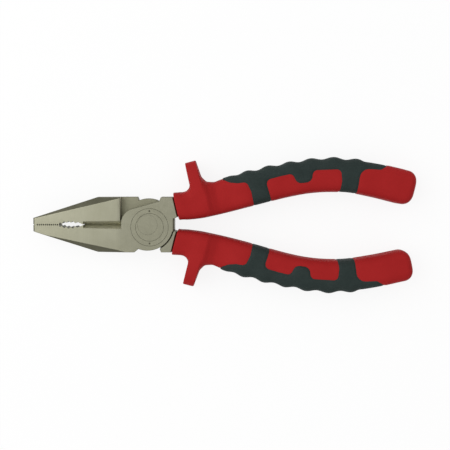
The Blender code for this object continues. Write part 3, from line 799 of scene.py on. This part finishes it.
class Skin:
    """The outer surface of a moulded piece: rings of points, their normals and a closed solid."""

    def __init__(self, name, line, stations):
        rows = []
        for along, outer, inner, half in stations:
            across, height = section_points(outer, inner, half, SECTION_ANGLES)
            rows.append((np.full_like(across, along), across, height))
        along, across, self.height = (np.array(values) for values in zip(*rows))
        self.points = placed(line, along, across, self.height)
        self.normals = grid_normals(self.points)
        self.along = along
        self.name = name

    def raise_parting_line(self, ends):
        """A fine bead along both sides, where the two halves of the mould met."""
        bead = 1 - smooth_step(*PARTING_LINE_PLACES, np.abs(self.height))
        start, end = ends
        clear = smooth_step(start, start + PARTING_LINE_FADE, self.along)
        clear *= 1 - smooth_step(end - PARTING_LINE_FADE, end, self.along)
        self.points = self.points + self.normals * (PARTING_LINE_HEIGHT * bead * clear)[..., None]

    def solid(self):
        return loft(self.name, self.points)

    def sink_edge(self, item, outline, width, proud=0.0):
        """Lower what is left of this skin on a cut piece along the edge of the cut, in a smooth round."""
        tree = KDTree(self.height.size)
        flat_points = self.points.reshape(-1, 3) * MM
        flat_normals = self.normals.reshape(-1, 3)
        for index, point in enumerate(flat_points):
            tree.insert(point, index)
        tree.balance()
        vertices = np.array([vertex.co for vertex in item.data.vertices])
        distance = edge_distance(np.array(outline) * MM, vertices[:, :2]) / MM
        for index in np.flatnonzero(distance < width):
            _, nearby, gap = tree.find(vertices[index])
            if gap < SKIN_REACH * MM:
                normal = flat_normals[nearby]
                depth = GROOVE_DEPTH + proud * abs(normal[2])
                sink = depth * (1 - float(smooth_step(0.0, width, distance[index])))
                vertices[index] -= normal * sink * MM
        item.data.vertices.foreach_set("co", vertices.ravel())
        item.data.update()


def sleeve_skin(name, line):
    """The sleeve's outer form, with its mould's parting line."""
    stations = []
    for along, outer, lip in sleeve_stations():
        inner = inner_at(line, along) - end_inset(along, END_CORNER_RADIUS) - lip
        half = smooth_value(SLEEVE_HALF_THICKNESS, along) - end_inset(along, END_EDGE_RADIUS) - lip
        stations.append((along, outer + girth_at(line, along), inner, half))
    skin = Skin(name, line, stations)
    skin.raise_parting_line((PARTING_LINE_START, SLEEVE_LENGTH - END_CORNER_RADIUS))
    return skin


def grip_skin(name, line):
    """The soft grip's outer form: ridges on the outer side, and both faces a little proud."""
    stations = []
    for along in np.linspace(*GRIP_SPAN, math.ceil((GRIP_SPAN[1] - GRIP_SPAN[0]) / STATION_STEP) + 1):
        outer = ridge_level(along - line.ridge_shift) + girth_at(line, along)
        inner = inner_at(line, along)
        half = smooth_value(SLEEVE_HALF_THICKNESS, along) + GRIP_PROUD
        stations.append((along, outer, inner, half))
    return Skin(name, line, stations)


def core_solid(line, grow):
    """The part of the sleeve that lies under the soft grip."""
    start, end = CORE_SPAN
    angles = np.linspace(0.0, math.tau, CORE_POINTS, endpoint=False)
    rows = []
    for step in range(CORE_STATIONS + 1):
        along = start + (end - start) * step / CORE_STATIONS
        outer = RIDGE_LEVEL - RIDGE_HEIGHT - GRIP_DEPTH + grow
        inner = smooth_value(SLEEVE_INNER, along) - GRIP_DEPTH + grow
        half = smooth_value(SLEEVE_HALF_THICKNESS, along) - GRIP_DEPTH + grow
        across, height = section_points(outer, inner, half, angles)
        rows.append((np.full_like(across, along), across, height))
    along, across, height = (np.array(values) for values in zip(*rows))
    return loft("core", placed(line, along, across, height))


def grip_room(line, pattern, grow, core_grow):
    """The space of the soft grip: its plan through the handle, without the core."""
    room = plate("grip_room", grown(line.outline(pattern), grow), -CUT_REACH, CUT_REACH)
    combine(room, core_solid(line, core_grow), "DIFFERENCE")
    return room


def tang_room(line):
    """The pocket in the sleeve for the tang and the shank."""
    half = TANG_THICKNESS / 2 + TANG_CLEARANCE
    room = plate("tang_room", tang_outline(line, TANG_CLEARANCE), -half, half)
    outer, inner = (width + TANG_CLEARANCE for width in SHANK_HALF_WIDTHS)
    depth = SHANK_DEPTH + TANG_CLEARANCE
    mouth = line.outline([(-depth, -inner), (depth, -inner), (depth, outer), (-depth, outer)])
    half = HEAD_THICKNESS / 2 + SHANK_RAMP_START * math.tan(SHANK_RAMP) + TANG_CLEARANCE
    combine(room, plate("mouth_room", mouth, -half, half), "UNION")
    return room


def make_sleeve(name, line, pattern):
    """A hard sleeve with room for its soft grip and for the tang."""
    skin = sleeve_skin(name, line)
    sleeve = skin.solid()
    combine(sleeve, grip_room(line, pattern, GRIP_GAP / 2, 0.0), "DIFFERENCE")
    combine(sleeve, tang_room(line), "DIFFERENCE")
    skin.sink_edge(sleeve, line.outline(pattern), GROOVE_HALF_WIDTH)
    return sleeve


def make_grip(name, line, pattern):
    """A soft grip: its skin, kept only where the sleeve leaves room."""
    skin = grip_skin(name, line)
    grip = skin.solid()
    combine(grip, grip_room(line, pattern, -GRIP_GAP / 2, GRIP_GAP), "INTERSECT")
    skin.sink_edge(grip, line.outline(pattern), GRIP_EDGE, GRIP_PROUD)
    return grip


# Materials

def node(tree, kind, settings=None, **inputs):
    """A new node, with its settings made and each named input set to a value or joined to a socket."""
    result = tree.nodes.new(kind)
    for name, value in (settings or {}).items():
        setattr(result, name, value)
    for name, value in inputs.items():
        socket = result.inputs[name.replace("_", " ")]
        if isinstance(value, bpy.types.NodeSocket):
            tree.links.new(value, socket)
        else:
            socket.default_value = value
    return result


def grain(tree, size, stretch=(1.0, 1.0, 1.0), detail=2.0):
    """Noise whose features have a size in millimetres, drawn out along the axes by a stretch."""
    place = node(tree, "ShaderNodeTexCoord").outputs["Object"]
    scale = [1.0 / (size * MM * factor) for factor in stretch]
    scaled = node(tree, "ShaderNodeMapping", Vector=place, Scale=scale)
    return node(tree, "ShaderNodeTexNoise", Vector=scaled.outputs[0], Scale=1.0, Detail=detail).outputs[0]


def ramp(tree, factor, low, high, ends=(0.35, 0.65)):
    """A colour that runs from one to another as a factor grows."""
    result = node(tree, "ShaderNodeValToRGB", Fac=factor)
    for element, place, colour in zip(result.color_ramp.elements, ends, (low, high)):
        element.position = place
        element.color = (*colour, 1.0)
    return result.outputs["Color"]


def map_range(tree, value, before, after, settings=None):
    """A number carried over from one range to another."""
    result = node(tree, "ShaderNodeMapRange", settings, Value=value)
    for name, limit in zip(("From Min", "From Max", "To Min", "To Max"), (*before, *after)):
        result.inputs[name].default_value = limit
    return result.outputs["Result"]


def spread(tree, factor, low, high):
    """A number that runs from one to another over the usual range of a noise."""
    return map_range(tree, factor, NOISE_RANGE, (low, high))


def calculated(tree, operation, first, second):
    """The result of a sum on a socket and another socket or a number."""
    result = node(tree, "ShaderNodeMath", {"operation": operation})
    tree.links.new(first, result.inputs[0])
    if isinstance(second, bpy.types.NodeSocket):
        tree.links.new(second, result.inputs[1])
    else:
        result.inputs[1].default_value = second
    return result.outputs[0]


def times(tree, colour, shade):
    """A colour multiplied by another."""
    result = node(tree, "ShaderNodeMix", {"data_type": "RGBA", "blend_type": "MULTIPLY"})
    result.inputs["Factor"].default_value = 1.0
    for socket, place in zip((colour, shade), MIX_COLOUR_INPUTS):
        tree.links.new(socket, result.inputs[place])
    return result.outputs[MIX_COLOUR_OUTPUT]


def bump(tree, height, depth, over=None):
    """A surface normal raised by a height of so many millimetres, over another one if it is given."""
    result = node(tree, "ShaderNodeBump", Height=height, Strength=1.0, Distance=depth * MM)
    if over:
        tree.links.new(over, result.inputs["Normal"])
    return result.outputs["Normal"]


def new_material(name, metallic, specular):
    """A new material, its node tree and its shader."""
    result = bpy.data.materials.new(name)
    result.use_nodes = True
    shader = result.node_tree.nodes["Principled BSDF"]
    shader.inputs["Metallic"].default_value = metallic
    shader.inputs["Specular IOR Level"].default_value = specular
    return result, result.node_tree, shader


def dress(tree, shader, colour, roughness, normal):
    """Join the sockets of a look to a shader."""
    for name, socket in (("Base Color", colour), ("Roughness", roughness), ("Normal", normal)):
        tree.links.new(socket, shader.inputs[name])


def steel(name, low, high, roughness, line_stretch, line_depth, grain_size, grain_depth):
    """Plated steel with slow changes of tone, a fine grain and the lines of its last grinding."""
    result, tree, shader = new_material(name, metallic=1.0, specular=0.5)
    tone = ramp(tree, grain(tree, size=9.0), low, high)
    lines = grain(tree, size=0.22, stretch=line_stretch)
    shade = ramp(tree, lines, (0.96, 0.96, 0.96), (1.0, 1.0, 1.0))
    speck = grain(tree, grain_size, detail=4.0)
    normal = bump(tree, lines, line_depth, over=bump(tree, speck, grain_depth))
    roughness = spread(tree, grain(tree, size=2.2), *roughness)
    dress(tree, shader, times(tree, tone, shade), roughness, normal)
    return result


def steel_finishes():
    """The finishes of a half: ground faces; sides and slopes in a darker forged colour that is painted
    shade; the lap's faces darker as painted shade of the recess; the honed cutter, with the step's wall in
    its lighter colour as painted light.
    """
    across = (1.0, 40.0, 40.0)
    along = (60.0, 1.0, 1.0)
    even = (1.0, 1.0, 1.0)
    return [
        steel(
            "ground_steel", low=(0.318, 0.312, 0.229), high=(0.34, 0.334, 0.249), roughness=(0.3, 0.38),
            line_stretch=across, line_depth=0.0016, grain_size=0.3, grain_depth=0.004,
        ),
        # Its darker colour is painted shade on the sides and slopes; the rougher grain is the forged
        # surface's own
        steel(
            "forged_steel", low=(0.145, 0.142, 0.098), high=(0.175, 0.171, 0.121), roughness=(0.4, 0.54),
            line_stretch=even, line_depth=0.004, grain_size=0.8, grain_depth=0.02,
        ),
        # A little darker than the ground colour: painted shade in the lap's recess; its roughness is the
        # lap's own
        steel(
            "lap_steel_painted_shade", low=(0.278, 0.271, 0.192), high=(0.308, 0.301, 0.216), roughness=(0.42, 0.5),
            line_stretch=even, line_depth=0.002, grain_size=0.4, grain_depth=0.008,
        ),
        # The honed cutter's own lighter colour; on the step's wall the same colour is painted light
        steel(
            "honed_steel_and_painted_light", low=(0.51, 0.5, 0.383), high=(0.57, 0.56, 0.43), roughness=(0.64, 0.76),
            line_stretch=along, line_depth=0.006, grain_size=0.3, grain_depth=0.004,
        ),
    ]


def red_plastic():
    """Satin moulded plastic with a fine spark-eroded grain."""
    result, tree, shader = new_material("red_plastic", metallic=0.0, specular=0.04)
    tone = ramp(tree, grain(tree, size=9.0), (0.364, 0.0168, 0.0172), (0.386, 0.0186, 0.019))
    speck = ramp(tree, grain(tree, size=0.35), (0.92, 0.92, 0.92), (1.0, 1.0, 1.0))
    roughness = spread(tree, grain(tree, size=1.2), low=0.42, high=0.54)
    normal = bump(tree, grain(tree, size=0.4), depth=0.012)
    dress(tree, shader, times(tree, tone, speck), roughness, normal)
    return result


def soft_plastic():
    """Matt rubbery plastic with a pebbled grain."""
    result, tree, shader = new_material("soft_plastic", metallic=0.0, specular=0.2)
    tone = ramp(tree, grain(tree, size=7.0), (0.0205, 0.0325, 0.0298), (0.0255, 0.0385, 0.0355))
    speck = ramp(tree, grain(tree, size=0.45), (0.84, 0.84, 0.84), (1.0, 1.0, 1.0))
    roughness = spread(tree, grain(tree, size=1.0), low=0.66, high=0.84)
    normal = bump(tree, grain(tree, size=0.5, detail=3.0), depth=0.03)
    dress(tree, shader, times(tree, tone, speck), roughness, normal)
    return result


# Assembly

def finish(item, looks, body, node, slot, over):
    """Put a piece in place, give it its looks and smooth shading, with even normals where its slot has flat
    faces, tie it to its body and hide its node.
    """
    item.data.transform(Matrix.Translation(PIVOT) @ (TURNED_OVER if over else Matrix()))
    for look in looks:
        item.data.materials.append(look)
    item.data.shade_smooth()
    item.data.set_sharp_from_angle(angle=SHARP_ANGLE)
    if slot in FLAT_FACED_SLOTS:
        even = item.modifiers.new("Even normals", "WEIGHTED_NORMAL")
        even.weight = FACE_WEIGHT
        even.keep_sharp = True
    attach(item, body)
    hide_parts(node)


def split_finish(half):
    """Give each face of a half its place in the list of finishes."""
    for polygon in half.data.polygons:
        along, across = polygon.center.xy / MM
        in_cutter = CUTTER_ENDS[0] < along < CUTTER_ENDS[1] and abs(across) < CUTTER_OPENING
        # The lap's faces take a darker colour: painted shade in the recess
        in_lap_painted_shade = abs(polygon.center.z) < HEAD_THICKNESS / 4 * MM
        # The step's wall takes the lighter honed colour: painted light on a wall that lies in shade
        on_step_painted_light = abs(along + JAW_STEP) < EDGE_ROUNDING and polygon.normal.x > GROUND_FLATNESS
        if in_cutter or on_step_painted_light:
            polygon.material_index = HONED_AND_PAINTED_LIGHT
        # Faces turned away from straight up or down take the darker forged colour: painted shade for their
        # dark reflections
        elif abs(polygon.normal.z) < GROUND_FLATNESS:
            polygon.material_index = FORGED_PAINTED_SHADE
        elif in_lap_painted_shade:
            polygon.material_index = LAP_PAINTED_SHADE


def build_pliers():
    """Both halves with their handles, then the rivet."""
    finishes = steel_finishes()
    red = red_plastic()
    soft = soft_plastic()
    plan = rounded(GRIP_PATTERN, closed=True)
    for handle, body, over in (("upper", "front", False), ("lower", "rear", True)):
        line = HandleLine(**HANDLE_SETS[handle])
        pattern = [(along, across + GRIP_PLAN_SHIFTS[handle]) for along, across in plan]
        half = make_half(body, line, marked=not over)
        split_finish(half)
        finish(half, finishes, body, f"{body}_half", "forged_steel", over)
        sleeve = make_sleeve(f"{handle}_sleeve_shell", line, pattern)
        finish(sleeve, [red], body, f"{handle}_sleeve", "red_plastic", over)
        grip = make_grip(f"{handle}_soft_grip_skin", line, pattern)
        finish(grip, [soft], body, f"{handle}_soft_grip", "soft_plastic", over)
    rivet = turned("pivot_rivet_turned", rivet_profile(0.0))
    finish(rivet, [finishes[GROUND]], "front", "pivot_rivet", "rivet_steel", False)


# Stage

def make_floor():
    """A white floor, turned up at its far edge so that a low view doesn't look past it.

    Where it is seen or mirrored it is mostly even white, with a soft shadow left.
    """
    bm = bmesh.new()
    bmesh.ops.create_grid(bm, x_segments=1, y_segments=1, size=FLOOR_REACH)
    rim = bmesh.ops.extrude_edge_only(bm, edges=bm.edges[:])["geom"]
    raised = [part for part in rim if isinstance(part, bmesh.types.BMVert)]
    bmesh.ops.translate(bm, verts=raised, vec=(0.0, 0.0, FLOOR_RIM))
    mesh = bpy.data.meshes.new("floor")
    bm.to_mesh(mesh)
    bm.free()
    floor = new_object("floor", mesh)
    material = bpy.data.materials.new("floor_white")
    material.use_nodes = True
    tree = material.node_tree
    tree.nodes.clear()
    path = node(tree, "ShaderNodeLightPath")
    seen = path.outputs["Is Camera Ray"]
    for name in ("Is Glossy Ray", "Is Transmission Ray"):
        seen = calculated(tree, "MAXIMUM", seen, path.outputs[name])
    share = calculated(tree, "MULTIPLY", seen, FLOOR_EVENNESS)
    lit = node(tree, "ShaderNodeBsdfDiffuse", Color=WHITE)
    even = node(tree, "ShaderNodeEmission", Color=WHITE, Strength=1.0)
    mixed = node(tree, "ShaderNodeMixShader", Fac=share)
    tree.links.new(lit.outputs[0], mixed.inputs[1])
    tree.links.new(even.outputs[0], mixed.inputs[2])
    node(tree, "ShaderNodeOutputMaterial", Surface=mixed.outputs[0])
    mesh.materials.append(material)


def make_lights():
    """An even grey room that darkens to its horizon, and one large soft light on the jaws' side."""
    world = bpy.data.worlds.new("studio")
    world.use_nodes = True
    tree = world.node_tree
    direction = node(tree, "ShaderNodeTexCoord").outputs["Generated"]
    height = node(tree, "ShaderNodeSeparateXYZ", Vector=direction).outputs["Z"]
    level = map_range(tree, height, ROOM_HEIGHTS, ROOM_LEVELS, {"interpolation_type": "SMOOTHSTEP"})
    tree.links.new(level, tree.nodes["Background"].inputs["Strength"])
    tree.nodes["Background"].inputs["Color"].default_value = WHITE
    bpy.context.scene.world = world
    light = bpy.data.lights.new("softbox", "AREA")
    light.shape = "DISK"
    light.size = SOFTBOX_SIZE
    light.energy = SOFTBOX_POWER
    lamp = bpy.data.objects.new("softbox", light)
    bpy.context.scene.collection.objects.link(lamp)
    lamp.location = SOFTBOX_PLACE
    lamp.rotation_euler = (-lamp.location).to_track_quat("-Z", "Y").to_euler()
    lamp.visible_camera = False


def make_camera():
    """A camera that frames the object as the photograph does, tilted a little from straight above."""
    camera = bpy.data.cameras.new("camera")
    camera.sensor_width = SENSOR_WIDTH
    camera.lens = SENSOR_WIDTH * CAMERA_DISTANCE / (PHOTO_WIDTH * MM_PER_PIXEL)
    camera.clip_start = CAMERA_NEAR * MM
    holder = bpy.data.objects.new("camera", camera)
    bpy.context.scene.collection.objects.link(holder)
    target = PIVOT + Vector((*CAMERA_TARGET, 0.0)) * MM
    away = Vector((0.0, math.sin(CAMERA_TILT), math.cos(CAMERA_TILT)))
    holder.location = target + away * CAMERA_DISTANCE * MM
    holder.rotation_euler = (-CAMERA_TILT, 0.0, 0.0)
    bpy.context.scene.camera = holder


build_pliers()
make_floor()
make_lights()
make_camera()
bpy.context.scene.view_settings.view_transform = "Standard"
